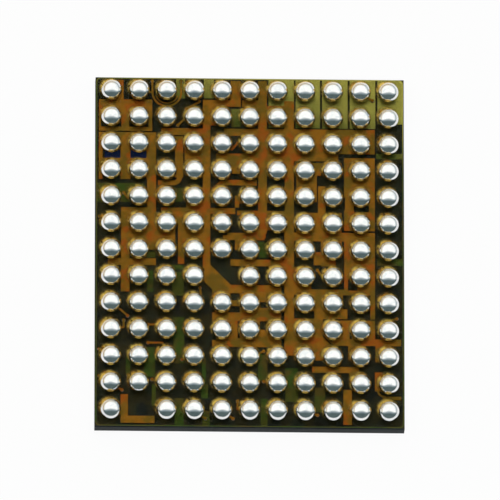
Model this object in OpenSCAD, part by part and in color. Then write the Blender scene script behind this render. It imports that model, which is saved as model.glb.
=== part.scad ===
// Wafer-level ball grid array: a bare silicon die that lies on its back, with its routed
// copper layer, its polyimide films and its solder balls on the upper side.
// +X runs along the columns, 1 to 11, and +Y from row N up to row A. +Z points out of the
// balls. The origin is under the middle of the die, on its back.
// Places on the ball side are given as [column, row], in pitches: [1, 1] is ball A1.

/* [Ball grid] */
// Distance between the middles of neighbouring balls
ball_pitch = 0.4; // [0.38:0.01:0.5]
// Distance from the middles of the outer balls to the edge of the die
edge_margin = 0.23; // [0.2:0.01:0.35]
// Diameter of a solder ball at its widest
ball_d = 0.3; // [0.26:0.005:0.33]
// Height of a solder ball above its neck
ball_h = 0.205; // [0.18:0.005:0.24]

/* [Die] */
// Thickness of the black film on the back of the die
back_film_t = 0.025; // [0.015:0.005:0.06]
// Thickness of the silicon
silicon_t = 0.2; // [0.1:0.01:0.5]
// Thickness of the circuit layers on the silicon
circuit_t = 0.01; // [0.006:0.001:0.02]
// Width of the ledge that the laser leaves along the sawn edge
ledge_w = 0.008; // [0.004:0.001:0.01]
// Depth of that ledge below the top of the silicon
ledge_depth = 0.02; // [0.01:0.005:0.05]
// Distance from the edge of the die to the seal ring
seal_inset = 0.013; // [0.011:0.001:0.02]
// Width of the seal ring
seal_w = 0.008; // [0.004:0.001:0.012]

/* [Top metal of the die] */
// Thickness of the metal straps and pads in the top of the circuit layers
metal_t = 0.003; // [0.001:0.001:0.005]
// Diameter of the aluminium pads
die_pad_d = 0.05; // [0.042:0.002:0.06]
// Gap between a strap and a pad
metal_gap = 0.006; // [0.003:0.001:0.01]

/* [Polyimide films] */
// Thickness of the lower film
lower_film_t = 0.008; // [0.005:0.001:0.015]
// Thickness of the upper film over the copper; between the copper it is level with it
upper_film_t = 0.007; // [0.004:0.001:0.012]
// Width of the raised film beside the copper
ridge_lap = 0.006; // [0.003:0.001:0.009]
// Distance from the edge of the die to the edge of the lower film
film_inset = 0.027; // [0.01:0.001:0.04]
// Distance that the upper film stays back from the edge of the lower one
film_step = 0.006; // [0.003:0.001:0.012]
// Radius of the films' corners
film_corner_r = 0.06; // [0.03:0.005:0.12]
// Diameter of the openings in the upper film
opening_d = 0.17; // [0.14:0.005:0.19]

/* [Routed copper] */
// Thickness of the copper
copper_t = 0.01; // [0.005:0.001:0.014]
// Gap between two pieces of copper
net_gap = 0.02; // [0.012:0.001:0.026]
// Width of the narrow traces
trace_w = 0.028; // [0.02:0.001:0.036]
// Width of the guard arc under ball A3
guard_w = 0.018; // [0.012:0.001:0.022]
// Width of the copper around an opening
landing_lap = 0.03; // [0.02:0.001:0.04]
// Diameter of the post through the lower film
via_d = 0.03; // [0.02:0.002:0.04]
// Width of the copper around a post at the end of a trace
via_lap = 0.008; // [0.004:0.001:0.012]

/* [Metal under the balls] */
// Thickness of its flange on the upper film
flange_t = 0.004; // [0.002:0.001:0.008]
// Overlap of its flange on the upper film
flange_lap = 0.02; // [0.01:0.001:0.025]

/* [Hidden] */
$fn = 32;

// Which piece of copper each ball stands on, one string per row from A to N.
// A dot is a site without a ball.
SITES = [
    "watnmennnnn",
    "wwnnmeennnn",
    "mmlmneeeeev",
    "mmlmeeeiikv",
    "nnmmceeiekv",
    "nmmmmeeeekv",
    "mmmmeeeeeev",
    "msss.eeevev",
    "ssssmmmeevv",
    "ssssmmmebbv",
    "ssssssseebb",
    "ssssssssddh",
    "f.sssssssgs"
];
BALLS = "wantmelcikbdhgfsv";
rows = len(SITES);
cols = len(SITES[0]);

die_w = (cols - 1) * ball_pitch + 2 * edge_margin;
die_l = (rows - 1) * ball_pitch + 2 * edge_margin;
flange_d = opening_d + 2 * flange_lap;
landing_d = opening_d + 2 * landing_lap;
end_d = via_d + 2 * via_lap;

// The outermost places that copper and straps reach, in pitches
copper_reach = (edge_margin - film_inset - film_step - ridge_lap) / ball_pitch;
strap_reach = (edge_margin - seal_inset - seal_w - metal_gap) / ball_pitch;
LEFT = 1 - copper_reach;
RIGHT = cols + copper_reach;
TOP = 1 - copper_reach;
BOTTOM = rows + copper_reach;
END_LEFT = LEFT + end_d / 2 / ball_pitch;
END_TOP = TOP + end_d / 2 / ball_pitch;
STRAP_LEFT = 1 - strap_reach;
STRAP_RIGHT = cols + strap_reach;
STRAP_TOP = 1 - strap_reach;
STRAP_BOTTOM = rows + strap_reach;

// Heights of the layers, from the back upwards
z_silicon = back_film_t;
z_circuit = z_silicon + silicon_t;
z_lower_film = z_circuit + circuit_t;
z_copper = z_lower_film + lower_film_t;
z_copper_top = z_copper + copper_t;
z_film_top = z_copper_top + upper_film_t;
z_ball = z_film_top + flange_t;
// A ball is an oval of two arcs, a tight one round its side and a flat one over its crown,
// cut off at its neck, which is as wide as the flange. The arcs meet on the line through
// their middles, and the sector that holds the crown's arc runs well past it.
side_share = 0.48;
sector_reach = 4;
side_r = side_share * ball_h;
side_x = ball_d / 2 - side_r;
ball_rise = sqrt(pow(side_r, 2) - pow(flange_d / 2 - side_x, 2));
crown_h = ball_h - ball_rise;
crown_r = (pow(side_x, 2) + pow(crown_h, 2) - pow(side_r, 2)) / (2 * (crown_h - side_r));
crown_z = crown_h - crown_r;

// Copper fields, each [left, top, right, bottom] in pitches, given at the middle of the
// gaps around them. Fields of one list overlap and form one piece with its landings.
WEST_FIELDS = [
    [4.28, 1.25, 4.60, 7.65],   // bus between columns 4 and 5
    [4.28, 1.25, 5.70, 1.55],   // arm over row B
    [5.28, TOP, 5.70, 1.55],    // block beside A5
    [5.00, 0.85, 5.40, 1.15],   // neck to A5
    [4.50, 1.45, 4.86, 2.26],   // wing beside B5
    [2.78, 2.33, 4.40, 2.64],   // arm over row C
    [3.62, 2.33, 4.40, 4.12],   // field round C4 and D4
    [3.68, 4.56, 4.40, 5.60],   // field round E4
    [LEFT, 2.50, 2.64, 4.32],   // field round C1 to D2
    [2.27, 4.20, 2.64, 5.60],   // strip down to the main field
    [2.50, 4.72, 2.95, 5.08],   // neck to E3
    [1.33, 5.33, 4.40, 6.75],   // main field round F2 to F4
    [4.28, 5.33, 5.50, 5.60],   // arm over F5
    [4.84, 5.50, 5.16, 5.90],   // neck to F5
    [1.33, 6.60, 1.69, 8.55],   // strip between columns 1 and 2
    [2.27, 6.60, 2.64, 6.97],   // tab beside G2
    [3.38, 6.60, 3.66, 7.50],   // tab beside G3
    [3.85, 6.60, 4.15, 6.90],   // neck to G4
    [2.85, 6.60, 3.15, 6.90],   // neck to G3
    [1.85, 6.60, 2.15, 6.90],   // neck to G2
    [0.86, 7.25, 2.64, 7.56],   // arm over row H
    [0.86, 7.05, 1.16, 7.95],   // neck from G1 to H1
    [4.62, 8.22, 7.16, 10.60]   // field round J5 to K7
];
WEST_WINDOWS = [
    [0.68, 3.02, 1.33, 3.50], [1.69, 3.02, 2.27, 3.50], [0.68, 4.02, 1.33, 4.40],
    [1.69, 4.02, 2.27, 4.40], [2.62, 5.10, 2.80, 5.54], [3.31, 5.95, 3.41, 7.60],
    [5.30, 8.56, 5.64, 8.82], [5.22, 9.04, 5.64, 9.28], [6.38, 8.88, 6.64, 9.10],
    [4.50, 8.74, 4.74, 9.28], [4.50, 9.60, 4.80, 10.32], [6.36, 9.60, 6.64, 9.92],
    [5.56, 9.60, 5.64, 10.24]
];
EAST_FIELDS = [
    [7.22, 1.27, 7.62, 10.90],  // bus between columns 7 and 8
    [6.28, TOP, 6.64, 6.32],    // strip between columns 6 and 7
    [6.00, 0.85, 6.40, 1.15],   // neck to A6
    [5.70, 1.25, 6.64, 1.55],   // arm over row B
    [5.76, 1.45, 7.40, 2.00],   // field round B6 and B7
    [5.04, 2.33, 10.54, 2.66],  // arm over row C
    [5.68, 2.50, 7.40, 3.55],   // field round C6 and C7
    [4.76, 3.27, 7.40, 3.56],   // arm over row D
    [4.76, 3.45, 5.74, 4.08],   // field round D5
    [5.68, 3.45, 7.40, 4.14],   // field round D6 and D7
    [5.80, 4.62, 7.40, 5.16],   // field round E6 and E7
    [5.44, 4.86, 5.64, 5.36],   // tab beside E6
    [5.50, 4.96, 5.90, 5.20],   // neck to that tab
    [5.52, 5.42, 6.40, 5.64],   // arm over F6
    [5.74, 5.42, 7.40, 6.20],   // field round F6 and F7
    [5.16, 6.26, 6.56, 6.58],   // arm over row G
    [6.10, 6.10, 6.60, 6.50],   // neck to that arm
    [5.00, 6.35, 5.30, 6.90],   // neck to G5
    [5.44, 6.50, 6.20, 6.96],   // field beside G6
    [7.00, 6.84, 7.40, 7.16],   // neck to G7
    [5.28, 7.26, 7.40, 7.56],   // arm over row H
    [5.85, 7.10, 6.15, 7.90],   // neck from G6 to H6
    [6.66, 7.46, 7.40, 7.80],   // field over H7
    [7.50, 2.50, 10.54, 3.30],  // field round C8 to C10
    [7.50, 3.20, 9.22, 3.58],   // arm over row D
    [8.44, 4.48, 8.76, 5.60],   // strip beside E9
    [8.60, 4.85, 8.95, 5.15],   // neck to E9
    [7.66, 5.48, 9.34, 6.40],   // field round F8 and F9
    [7.50, 6.22, 10.54, 6.60],  // arm over row G
    [7.66, 6.50, 8.28, 7.22],   // field round G8
    [8.28, 6.96, 8.70, 7.50],   // tab beside G8
    [8.54, 6.50, 9.34, 7.20],   // field round G9
    [8.54, 7.10, 9.12, 7.54],   // tab under G9
    [9.38, 6.50, 10.54, 8.62],  // field round G10 and H10
    [7.50, 7.52, 8.24, 8.62],   // field round H8
    [7.50, 8.36, 10.54, 8.62],  // arm over row J
    [7.66, 8.50, 9.38, 9.22],   // field round J8 and J9
    [8.30, 9.10, 9.54, 9.52],   // field under J9
    [10.32, 8.50, 10.54, 9.52], // strip beside J10
    [8.32, 9.40, 8.66, 11.08],  // strip beside K8
    [7.50, 9.46, 8.50, 10.80]   // field round K8
];
EAST_WINDOWS = [
    [5.44, 3.00, 5.84, 3.28], [6.64, 4.12, 7.26, 4.52], [6.64, TOP, 6.70, 1.50],
    [5.30, 5.66, 5.74, 6.26], [9.54, 8.00, 9.88, 8.42], [6.64, 5.16, 7.26, 5.42],
    [5.30, 2.62, 5.68, 2.80], [8.20, 3.86, 8.40, 4.00], [9.40, 8.60, 9.56, 9.00],
    [7.60, 9.20, 8.22, 9.48]
];
NORTH_WEST_FIELDS = [
    [LEFT, 1.26, 2.50, 2.50],   // field round B1 and B2
    [1.20, TOP, 1.46, 1.40],    // strip beside A1
    [0.85, 0.85, 1.35, 1.15]    // neck to A1
];
NORTH_WEST_WINDOWS = [[0.62, 2.04, 1.36, 2.32], [1.64, 2.04, 2.34, 2.32]];
LOOP_FIELDS = [
    [3.28, 2.64, 3.62, 4.24],   // strip beside C3 and D3
    [2.85, 2.85, 3.45, 3.15],   // neck to C3
    [2.85, 3.85, 3.45, 4.15],   // neck to D3
    [2.66, 4.30, 3.30, 4.54]    // arm under D3
];
CROSSOVER_FIELDS = [
    [4.60, 4.56, 5.15, 5.18],   // field beside E5
    [4.90, 4.26, 6.28, 4.52]    // arm over row E
];
INNER_FIELDS = [
    [7.66, 3.60, 8.60, 5.12],   // field round D8 and E8
    [8.40, 3.60, 9.34, 4.02]    // field round D9
];
INNER_WINDOWS = [[8.42, 4.10, 8.70, 5.20]];
NORTH_EAST_FIELDS = [
    [9.38, 3.40, 10.54, 6.20]   // field round D10 to F10
];
NORTH_EAST_WINDOWS = [[9.76, 5.22, 10.30, 5.46], [9.30, 4.92, 9.44, 5.40]];
SOUTH_EAST_FIELDS = [
    [8.66, 9.52, 10.54, 10.52], // field round K9 and K10
    [9.52, 10.40, 9.84, 11.06], // strip beside L10
    [9.70, 10.40, 10.20, 10.90],// neck to L10
    [10.40, 10.22, RIGHT, 10.52],// arm over L11
    [10.50, 10.40, 11.10, 11.12]// field beside L11
];
SOUTH_EAST_WINDOWS = [[9.60, 9.70, 9.68, 10.24]];
SOUTH_BAND_FIELDS = [
    [8.22, 11.26, 9.96, 11.54], // arm over row M
    [8.85, 11.40, 9.15, 11.90], // neck to M9
    [9.56, 11.40, 9.82, 12.00], // strip beside M10
    [9.70, 11.45, 10.15, 11.90] // neck to M10
];
CORNER_HOOK_FIELDS = [
    [10.48, 11.46, 10.80, 12.22],// strip beside M11
    [10.70, 11.70, 11.10, 12.10],// neck to M11
    [10.76, 12.36, RIGHT, 12.54] // arm over row N
];
SOUTH_STRIP_FIELDS = [
    [9.34, 12.12, 9.70, BOTTOM],// strip between columns 9 and 10
    [9.60, 12.62, 10.10, 13.15] // neck to N10
];
SOUTH_WEST_FIELDS = [
    [1.33, 12.36, 1.64, BOTTOM],// strip beside N1
    [0.95, 12.85, 1.45, 13.15], // neck to N1
    [1.33, 13.16, 2.60, BOTTOM] // strip below the empty site
];

// Narrow traces that leave single landings, each a list of [column, row] points
ARC_TRACES = [
    [[2.00, 1.00], [2.48, 1.00], [2.48, END_TOP]], [[3.52, 1.00], [3.52, END_TOP]]
];
NORTH_TRACES = [
    [[4.00, 2.00], [3.72, 1.92], [3.40, 2.24]], [[5.00, 3.00], [5.36, 3.14], [5.56, 2.90]],
    [[4.00, 1.00], [4.20, 1.34], [3.70, 1.62]], [[2.00, 5.00], [1.60, 5.00], [1.45, 4.80]],
    [[1.00, 5.00], [END_LEFT, 4.72]], [[1.00, 6.00], [END_LEFT, 5.70]],
    [[10.00, 1.00], [10.44, 1.24]], [[3.00, 2.00], [2.66, 1.74]]
];
EAST_TRACES = [
    [[11.00, 5.00], [10.70, 4.64]], [[11.00, 6.00], [10.62, 5.80], [10.76, 5.54]],
    [[11.00, 7.00], [10.74, 6.68]], [[11.00, 8.00], [10.76, 7.58]],
    [[11.00, 9.00], [10.74, 8.70]], [[11.00, 10.00], [10.72, 9.64], [11.30, 9.46]],
    [[9.00, 8.00], [8.62, 7.94], [8.44, 7.66]], [[10.00, 9.00], [9.70, 8.80]],
    [[11.00, 3.00], [10.72, 2.72]], [[11.00, 4.00], [10.72, 3.66]]
];
SOUTH_TRACES = [
    [[3.00, 9.00], [2.62, 8.68]], [[4.00, 9.00], [4.24, 8.60], [4.20, 8.36]],
    [[1.00, 9.00], [1.36, 9.22], [1.60, 9.44]], [[1.00, 10.00], [1.46, 9.86], [1.46, 9.60]],
    [[3.00, 10.00], [2.66, 9.76], [2.34, 9.76]], [[3.00, 11.00], [2.86, 10.44], [2.34, 10.44]],
    [[2.00, 12.00], [1.62, 11.66]], [[3.00, 12.00], [2.48, 11.82]],
    [[4.00, 12.00], [3.70, 11.66]], [[5.00, 11.00], [4.60, 10.80]],
    [[6.00, 11.00], [6.50, 10.72]], [[7.00, 12.00], [6.50, 11.86]],
    [[6.00, 13.00], [5.56, 12.90], [5.56, 12.60]], [[5.00, 13.00], [5.40, 13.26]],
    [[4.00, 13.00], [4.40, 13.26]], [[8.00, 13.00], [8.44, 13.10]],
    [[1.00, 11.00], [END_LEFT, 10.70]], [[1.00, 12.00], [END_LEFT, 11.70]],
    [[1.00, 12.00], [1.40, 12.22]], [[4.00, 11.00], [3.56, 11.06]], [[2.00, 9.00], [1.60, 8.86]]
];

// Straps of top metal that show through the films, [left, top, right, bottom]
STRAPS = [
    [3.34, STRAP_TOP, 3.66, 1.22], [4.34, STRAP_TOP, 4.70, 1.20], [5.34, 1.60, 5.66, 2.28],
    [6.68, STRAP_TOP, 7.60, 2.30], [7.66, STRAP_TOP, 8.54, 2.30], [8.62, STRAP_TOP, 9.54, 2.30],
    [9.62, STRAP_TOP, 10.54, 2.30], [10.62, STRAP_TOP, STRAP_RIGHT, 2.12],
    [STRAP_LEFT, 4.44, 2.20, 5.14], [3.30, 4.60, 3.60, 5.12], [2.30, 7.02, 2.60, 7.24],
    [2.30, 7.72, 2.52, 8.52], [3.14, 7.50, 3.66, 7.68], [3.20, 7.76, 3.62, 8.66],
    [3.24, 9.46, 3.64, 11.20], [1.54, 10.90, 1.70, 11.60], [2.20, 10.60, 2.60, 11.70],
    [3.30, 12.50, 3.62, STRAP_BOTTOM], [4.26, 11.96, 4.50, 12.50], [6.30, 10.84, 6.64, 11.80],
    [6.40, 12.50, 6.64, STRAP_BOTTOM], [7.28, 11.34, 7.74, 12.60], [8.34, 12.06, 8.72, 12.98],
    [6.34, 6.62, 6.62, 7.20], [2.48, 12.00, 2.62, 12.80], [10.56, 3.24, STRAP_RIGHT, 3.44],
    [4.28, 11.00, 4.42, 11.90], [4.30, 12.96, 4.56, STRAP_BOTTOM], [10.60, 7.20, STRAP_RIGHT, 7.46]
];

// Slant of the copper from the bus to the field round J5, and the cut beside K9
slant_start = [4.04, 7.39];
slant_end = [5.46, 8.81];
slant_w = 0.6 * ball_pitch;
cut_start = [8.66, 10.16];

TRACES = concat(ARC_TRACES, NORTH_TRACES, EAST_TRACES, SOUTH_TRACES);

// ---- Places on the grid ----

function col_x(c) = (c - (cols + 1) / 2) * ball_pitch;
function row_y(r) = ((rows + 1) / 2 - r) * ball_pitch;
function place(p) = [col_x(p[0]), row_y(p[1])];
function site(c, r) = SITES[r - 1][c - 1];
function end_of(points) = points[len(points) - 1];
function has_trace(c, r) = len([for (points = TRACES) if (points[0] == [c, r]) c]) > 0;

// ---- Plane shapes that the layers share; grow widens a shape all round ----

module rounded_rect(w, l, r) {
    square([w - 2 * r, l], center = true);
    square([w, l - 2 * r], center = true);
    for (x = [-1, 1], y = [-1, 1])
        translate([x * (w / 2 - r), y * (l / 2 - r)]) circle(r = r);
}

module field(box, grow = 0) {
    inset = net_gap / 2 - grow;
    translate([col_x(box[0]) + inset, row_y(box[3]) + inset])
        square([(box[2] - box[0]) * ball_pitch - 2 * inset, (box[3] - box[1]) * ball_pitch - 2 * inset]);
}

module fields(boxes, grow = 0) {
    for (box = boxes) field(box, grow);
}

// Openings in a field, which get smaller as the field grows
module windows(boxes, grow = 0) {
    for (box = boxes) field(box, net_gap / 2 - grow);
}

module segment(from, to, w) {
    step = to - from;
    translate(from) rotate(atan2(step[1], step[0]))
        translate([0, -w / 2]) square([norm(step), w]);
}

module trace(points, grow = 0) {
    w = trace_w + 2 * grow;
    for (i = [1 : len(points) - 1]) segment(place(points[i - 1]), place(points[i]), w);
    for (i = [1 : len(points) - 1]) translate(place(points[i])) circle(d = w);
}

module traces(lists, grow = 0) {
    for (points = lists) {
        trace(points, grow);
        translate(place(end_of(points))) circle(d = end_d + 2 * grow);
    }
}

// Straight run of copper with round ends
module run(from, to, w) {
    segment(place(from), place(to), w);
    for (p = [from, to]) translate(place(p)) circle(d = w);
}

// Part of a ring round a place, with round ends, between two angles at most half a turn apart
module arc(centre, r, from, to, w) {
    reach = 2 * (r + w);
    translate(place(centre)) {
        intersection() {
            difference() {
                circle(r = r + w / 2);
                circle(r = r - w / 2);
            }
            polygon([[0, 0], for (a = [from, (2 * from + to) / 3, (from + 2 * to) / 3, to])
                reach * [cos(a), sin(a)]]);
        }
        for (a = [from, to]) translate(r * [cos(a), sin(a)]) circle(d = w);
    }
}

module on_sites(ids) {
    for (r = [1 : rows], c = [1 : cols])
        if (len(search(site(c, r), ids)) > 0) translate(place([c, r])) children();
}

// Where posts go down to the die: under a landing, or under the far end of its trace
module at_posts(ids = BALLS, lists = TRACES) {
    for (r = [1 : rows], c = [1 : cols])
        if (len(search(site(c, r), ids)) > 0 && !has_trace(c, r))
            translate(place([c, r])) children();
    for (points = lists) translate(place(end_of(points))) children();
}

module landings(id, grow = 0) {
    on_sites(id) circle(d = landing_d + 2 * grow);
}

// Whether any field of a list comes within half a pitch of a site
function near(c, r, boxes) = len([
    for (box = boxes)
        if (c > box[0] - 0.5 && c < box[2] + 0.5 && r > box[1] - 0.5 && r < box[3] + 0.5) box
]) > 0;

// What a piece leaves free round the landings of the others
module clearances(id, boxes, grow = 0) {
    for (r = [1 : rows], c = [1 : cols])
        if (site(c, r) != id && site(c, r) != "." && near(c, r, boxes))
            translate(place([c, r])) circle(d = landing_d + 2 * net_gap - 2 * grow);
}

// The side of the cut beside K9 that the strip beside K8 takes
module below_cut(grow = 0) {
    translate(place(cut_start)) rotate(-45)
        translate([-ball_pitch, -3 * ball_pitch - net_gap / 2 + grow]) square(3 * ball_pitch);
}

module copper_piece(id, boxes, holes = [], grow = 0) {
    difference() {
        union() {
            fields(boxes, grow);
            children();
        }
        windows(holes, grow);
        clearances(id, boxes, grow);
    }
    landings(id, grow);
}

// ---- Outlines of the copper pieces ----

module west_outline(grow = 0) {
    copper_piece("m", WEST_FIELDS, WEST_WINDOWS, grow)
        intersection() {
            segment(place(slant_start), place(slant_end), slant_w + 2 * grow);
            field([4.34, 7.40, 5.40, 8.70], grow);
        }
}

module east_outline(grow = 0) {
    copper_piece("e", EAST_FIELDS, EAST_WINDOWS, grow)
        intersection() {
            field([8.50, 10.00, 9.26, 10.92], grow);
            below_cut(grow);
        }
}

module north_west_outline(grow = 0) {
    copper_piece("w", NORTH_WEST_FIELDS, NORTH_WEST_WINDOWS, grow);
}

module arc_outline(grow = 0) {
    landings("a", grow);
    landings("t", grow);
    traces(ARC_TRACES, grow);
    arc([3, 1], 0.52 * ball_pitch, 180, 360, trace_w + 2 * grow);
    arc([3, 1], 0.41 * ball_pitch, 200, 340, guard_w + 2 * grow);
}

module loop_outline(grow = 0) {
    copper_piece("l", LOOP_FIELDS, [], grow)
        arc([3.24, 4.20], 0.225 * ball_pitch, 270, 360, 0.175 * ball_pitch + 2 * grow);
}

module crossover_outline(grow = 0) {
    copper_piece("c", CROSSOVER_FIELDS, [], grow)
        run([4.72, 4.66], [4.98, 4.40], 0.18 * ball_pitch + 2 * grow);
}

module inner_outline(grow = 0) {
    copper_piece("i", INNER_FIELDS, INNER_WINDOWS, grow);
}

module north_east_outline(grow = 0) {
    copper_piece("k", NORTH_EAST_FIELDS, NORTH_EAST_WINDOWS, grow);
}

module south_east_outline(grow = 0) {
    difference() {
        copper_piece("b", SOUTH_EAST_FIELDS, SOUTH_EAST_WINDOWS, grow);
        below_cut(net_gap - grow);
    }
}

module south_band_outline(grow = 0) {
    copper_piece("d", SOUTH_BAND_FIELDS, [], grow);
}

module corner_hook_outline(grow = 0) {
    copper_piece("h", CORNER_HOOK_FIELDS, [], grow)
        arc([10.86, 12.14], 0.25 * ball_pitch, 180, 270, trace_w + 2 * grow);
}

module south_strip_outline(grow = 0) {
    copper_piece("g", SOUTH_STRIP_FIELDS, [], grow);
}

module south_west_outline(grow = 0) {
    copper_piece("f", SOUTH_WEST_FIELDS, [], grow);
}

module pads_outline(id, lists, grow = 0) {
    landings(id, grow);
    traces(lists, grow);
}

module all_copper(grow = 0) {
    west_outline(grow);
    east_outline(grow);
    north_west_outline(grow);
    arc_outline(grow);
    loop_outline(grow);
    crossover_outline(grow);
    inner_outline(grow);
    north_east_outline(grow);
    south_east_outline(grow);
    south_band_outline(grow);
    corner_hook_outline(grow);
    south_strip_outline(grow);
    south_west_outline(grow);
    pads_outline("n", NORTH_TRACES, grow);
    pads_outline("v", EAST_TRACES, grow);
    pads_outline("s", SOUTH_TRACES, grow);
}

// ---- Solids ----

module layer(z, t) {
    translate([0, 0, z]) linear_extrude(t) children();
}

module die_outline(inset = 0) {
    square([die_w - 2 * inset, die_l - 2 * inset], center = true);
}

module film_outline(inset) {
    rounded_rect(die_w - 2 * inset, die_l - 2 * inset, film_corner_r);
}

// The outer edge of the seal ring, or a line further in
module inside_seal(inset) {
    rounded_rect(die_w - 2 * (seal_inset + inset), die_l - 2 * (seal_inset + inset),
        film_corner_r - inset);
}

module seal_outline() {
    difference() {
        inside_seal(0);
        inside_seal(seal_w);
    }
}

module strap_outline() {
    difference() {
        intersection() {
            windows(STRAPS);
            inside_seal(seal_w + metal_gap);
        }
        at_posts() circle(d = die_pad_d + 2 * metal_gap);
    }
}

module pad_outline() {
    at_posts() circle(d = die_pad_d);
}

// One piece of copper: the outline given, with its posts through the lower film
module copper_solid(ids, lists = []) {
    color("darkgoldenrod") {
        layer(z_copper, copper_t) children();
        layer(z_lower_film, lower_film_t) at_posts(ids, lists) circle(d = via_d);
    }
}

module backside_film() {
    color("dimgray") layer(0, back_film_t) die_outline();
}

module silicon_die() {
    color("slategray") {
        layer(z_silicon, silicon_t - ledge_depth) die_outline();
        layer(z_circuit - ledge_depth, ledge_depth) die_outline(ledge_w);
    }
}

module circuit_layers() {
    color("darkslategray") {
        layer(z_circuit, circuit_t - metal_t) die_outline(ledge_w);
        layer(z_lower_film - metal_t, metal_t) difference() {
            die_outline(ledge_w);
            seal_outline();
            strap_outline();
            pad_outline();
        }
    }
}

module seal_ring() {
    color("olivedrab") layer(z_lower_film - metal_t, metal_t) seal_outline();
}

module top_metal_straps() {
    color("olive") layer(z_lower_film - metal_t, metal_t) strap_outline();
}

module aluminium_pads() {
    color("lightgray") layer(z_lower_film - metal_t, metal_t) pad_outline();
}

module lower_polyimide() {
    color("peru") layer(z_lower_film, lower_film_t) difference() {
        film_outline(film_inset);
        at_posts() circle(d = via_d);
    }
}

module copper_west_plane() {
    copper_solid("m") west_outline();
}

module copper_east_plane() {
    copper_solid("e") east_outline();
}

module copper_north_west_island() {
    copper_solid("w") north_west_outline();
}

module copper_arc_traces() {
    copper_solid("at", ARC_TRACES) arc_outline();
}

module copper_loop() {
    copper_solid("l") loop_outline();
}

module copper_crossover() {
    copper_solid("c") crossover_outline();
}

module copper_inner_island() {
    copper_solid("i") inner_outline();
}

module copper_north_east_island() {
    copper_solid("k") north_east_outline();
}

module copper_south_east_island() {
    copper_solid("b") south_east_outline();
}

module copper_south_band() {
    copper_solid("d") south_band_outline();
}

module copper_corner_hook() {
    copper_solid("h") corner_hook_outline();
}

module copper_south_strip() {
    copper_solid("g") south_strip_outline();
}

module copper_south_west_frame() {
    copper_solid("f") south_west_outline();
}

module copper_north_pads() {
    copper_solid("n", NORTH_TRACES) pads_outline("n", NORTH_TRACES);
}

module copper_east_pads() {
    copper_solid("v", EAST_TRACES) pads_outline("v", EAST_TRACES);
}

module copper_south_pads() {
    copper_solid("s", SOUTH_TRACES) pads_outline("s", SOUTH_TRACES);
}

// The upper film fills the gaps between the copper, and stands up over the copper and a
// little beside it. It is open above each landing.
module upper_polyimide() {
    color("goldenrod") {
        layer(z_copper, copper_t) difference() {
            film_outline(film_inset + film_step);
            all_copper();
        }
        layer(z_copper_top, upper_film_t) difference() {
            all_copper(ridge_lap);
            on_sites(BALLS) circle(d = opening_d);
        }
    }
}

module ball_metal() {
    rotate_extrude() polygon([
        [0, z_copper_top], [opening_d / 2, z_copper_top], [opening_d / 2, z_film_top],
        [flange_d / 2, z_film_top], [flange_d / 2, z_ball], [0, z_ball]
    ]);
}

module ball() {
    translate([0, 0, z_ball + ball_rise]) rotate_extrude() intersection() {
        translate([0, -ball_rise]) square(ball_d);
        union() {
            translate([side_x, 0]) circle(r = side_r);
            intersection() {
                translate([0, crown_z]) circle(r = crown_r);
                polygon([
                    [0, crown_z], [sector_reach * side_x, (1 - sector_reach) * crown_z], [0, ball_d]
                ]);
            }
            translate([0, -ball_rise]) square([flange_d / 2, ball_rise]);
        }
    }
}

module on_row(r) {
    for (c = [1 : cols])
        if (site(c, r) != ".") translate(place([c, r])) children();
}

module ball_metal_row(r) {
    color("silver") on_row(r) ball_metal();
}

module solder_row(r) {
    color("gainsboro") on_row(r) ball();
}

backside_film();
silicon_die();
circuit_layers();
seal_ring();
top_metal_straps();
aluminium_pads();
lower_polyimide();
copper_west_plane();
copper_east_plane();
copper_north_west_island();
copper_arc_traces();
copper_loop();
copper_crossover();
copper_inner_island();
copper_north_east_island();
copper_south_east_island();
copper_south_band();
copper_corner_hook();
copper_south_strip();
copper_south_west_frame();
copper_north_pads();
copper_east_pads();
copper_south_pads();
upper_polyimide();
ball_metal_row(1);  // ball_metal_row_a
ball_metal_row(2);  // ball_metal_row_b
ball_metal_row(3);  // ball_metal_row_c
ball_metal_row(4);  // ball_metal_row_d
ball_metal_row(5);  // ball_metal_row_e
ball_metal_row(6);  // ball_metal_row_f
ball_metal_row(7);  // ball_metal_row_g
ball_metal_row(8);  // ball_metal_row_h
ball_metal_row(9);  // ball_metal_row_j
ball_metal_row(10);  // ball_metal_row_k
ball_metal_row(11);  // ball_metal_row_l
ball_metal_row(12);  // ball_metal_row_m
ball_metal_row(13);  // ball_metal_row_n
solder_row(1);  // solder_row_a
solder_row(2);  // solder_row_b
solder_row(3);  // solder_row_c
solder_row(4);  // solder_row_d
solder_row(5);  // solder_row_e
solder_row(6);  // solder_row_f
solder_row(7);  // solder_row_g
solder_row(8);  // solder_row_h
solder_row(9);  // solder_row_j
solder_row(10);  // solder_row_k
solder_row(11);  // solder_row_l
solder_row(12);  // solder_row_m
solder_row(13);  // solder_row_n
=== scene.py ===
"""Looks of a wafer-level ball grid array: films, copper, silicon and solder, with its studio.

Everything is in metres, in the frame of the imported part: +X along the ball columns, +Y from the
last ball row to the first, +Z out of the balls, with the back of the die on z = 0.
"""

import logging
import math
from dataclasses import dataclass
from enum import Enum

import bmesh
import bpy
import numpy as np
from mathutils import Matrix, Vector, noise

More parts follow.
